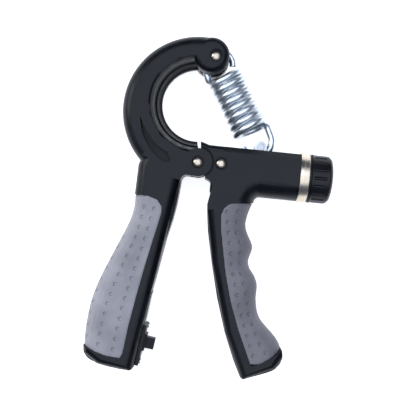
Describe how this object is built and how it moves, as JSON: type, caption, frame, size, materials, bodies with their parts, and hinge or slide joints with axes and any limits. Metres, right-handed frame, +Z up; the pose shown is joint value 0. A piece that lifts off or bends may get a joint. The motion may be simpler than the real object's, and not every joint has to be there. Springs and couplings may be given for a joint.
{
  "type": "hand grip strengthener",
  "caption": "Adjustable hand grip exerciser: two hinged handles, an arch with a tension spring, a screw knob that shifts the spring, and a squeeze counter.",
  "frame": {"origin": "centre of the whole object's footprint, on the plane that it lies on", "axes": "+X towards the adjusting knob, +Y towards the arch, +Z up off the surface; the hinge axis is parallel to Z"},
  "size_m": [0.1221, 0.1662, 0.0244],
  "materials": {
    "black_frame": "satin moulded nylon",
    "grey_grip_left": "soft-touch moulded elastomer",
    "grey_grip_right": "soft-touch moulded elastomer",
    "rivet_metal": "nickel plated, domed",
    "spring_steel": "bright zinc plated wire",
    "screw_steel": "bright zinc plated",
    "bearing_bronze": "sintered bronze",
    "ring_chrome": "bright plated",
    "knob_black": "semi-gloss moulded",
    "counter_black": "fine matt moulded",
    "window_clear": "clear smoked acrylic",
    "wheel_white": "moulded acetal"
  },
  "bodies": {
    "hinge_pin": {"pivot_rivet": "rivet_metal"},
    "left_handle": {"left_frame": "black_frame", "left_grip": "grey_grip_left", "counter_housing": "counter_black", "counter_plate": "counter_black", "counter_window": "window_clear", "plate_screws": "screw_steel", "counter_shaft": "screw_steel", "upper_spring_pin": "rivet_metal"},
    "right_handle": {"right_frame": "black_frame", "right_grip": "grey_grip_right", "arm_rivet": "rivet_metal", "screw_bearing": "bearing_bronze", "end_bush": "counter_black", "trim_ring": "ring_chrome", "thrust_washer": "counter_black"},
    "adjuster": {"knob": "knob_black", "knob_cap": "knob_black", "lead_screw": "screw_steel"},
    "nut_carriage": {"slider_nut": "screw_steel", "hook_pin": "screw_steel"},
    "spring_top": {"spring_upper": "spring_steel"},
    "spring_foot": {"spring_lower": "spring_steel"},
    "button": {"plunger": "counter_black", "pawl": "screw_steel", "plunger_spring": "spring_steel"},
    "units": {"units_wheel": "wheel_white", "ratchet_wheel": "screw_steel"},
    "tens": {"tens_wheel": "wheel_white"},
    "hundreds": {"hundreds_wheel": "wheel_white"}
  },
  "joints": [
    {"name": "opening", "type": "hinge", "parent": "hinge_pin", "child": "left_handle", "pos_m": [-0.00485, 0.0218, 0.0122], "axis": [0, 0, -1], "range_deg": [-2, 7.6]},
    {"name": "squeeze", "type": "hinge", "parent": "hinge_pin", "child": "right_handle", "pos_m": [-0.00485, 0.0218, 0.0122], "axis": [0, 0, -1], "range_deg": [0, 20.5], "stiffness_Nm_per_rad": 12, "springref_deg": -1.15},
    {"name": "knob_turn", "type": "hinge", "parent": "right_handle", "child": "adjuster", "pos_m": [0.04665, 0.0147, 0.0122], "axis": [-0.9949, 0.1011, 0], "range_deg": [-721, 2881]},
    {"name": "nut_slide", "type": "slide", "parent": "right_handle", "child": "nut_carriage", "axis": [0.9949, -0.1011, 0], "range_m": [-0.002, 0.008]},
    {"name": "spring_swing", "type": "hinge", "parent": "left_handle", "child": "spring_top", "pos_m": [0.00405, 0.073, 0.0122], "axis": [0, 0, 1], "range_deg": [-2.4, 9.4], "deforming": ["spring_upper"]},
    {"name": "spring_stretch", "type": "slide", "parent": "spring_top", "child": "spring_foot", "axis": [0.0623, -0.9981, 0], "range_m": [0, 0.0118], "deforming": ["spring_lower"]},
    {"name": "button_press", "type": "slide", "parent": "left_handle", "child": "button", "axis": [-0.974, 0.2267, 0], "range_m": [0, 0.0035], "stiffness_N_per_m": 400, "springref_m": -0.001, "deforming": ["plunger_spring"]},
    {"name": "units_spin", "type": "hinge", "parent": "left_handle", "child": "units", "pos_m": [-0.03895, -0.06429, 0.0122], "axis": [0.2267, 0.974, 0], "continuous": true},
    {"name": "tens_spin", "type": "hinge", "parent": "left_handle", "child": "tens", "pos_m": [-0.03895, -0.06429, 0.0122], "axis": [0.2267, 0.974, 0], "continuous": true},
    {"name": "hundreds_spin", "type": "hinge", "parent": "left_handle", "child": "hundreds", "pos_m": [-0.03895, -0.06429, 0.0122], "axis": [0.2267, 0.974, 0], "continuous": true}
  ],
  "couplings": [
    {"joint": "knob_turn", "follows": "nut_slide", "rad_per_m": 6283.2},
    {"joint": "opening", "follows": "nut_slide", "rad_per_m": 16.406},
    {"joint": "spring_swing", "follows": "nut_slide", "rad_per_m": 20.158},
    {"joint": "spring_stretch", "follows": "squeeze", "m_per_rad": 0.032605},
    {"joint": "tens_spin", "follows": "units_spin", "ratio": 0.1},
    {"joint": "hundreds_spin", "follows": "units_spin", "ratio": 0.01}
  ]
}
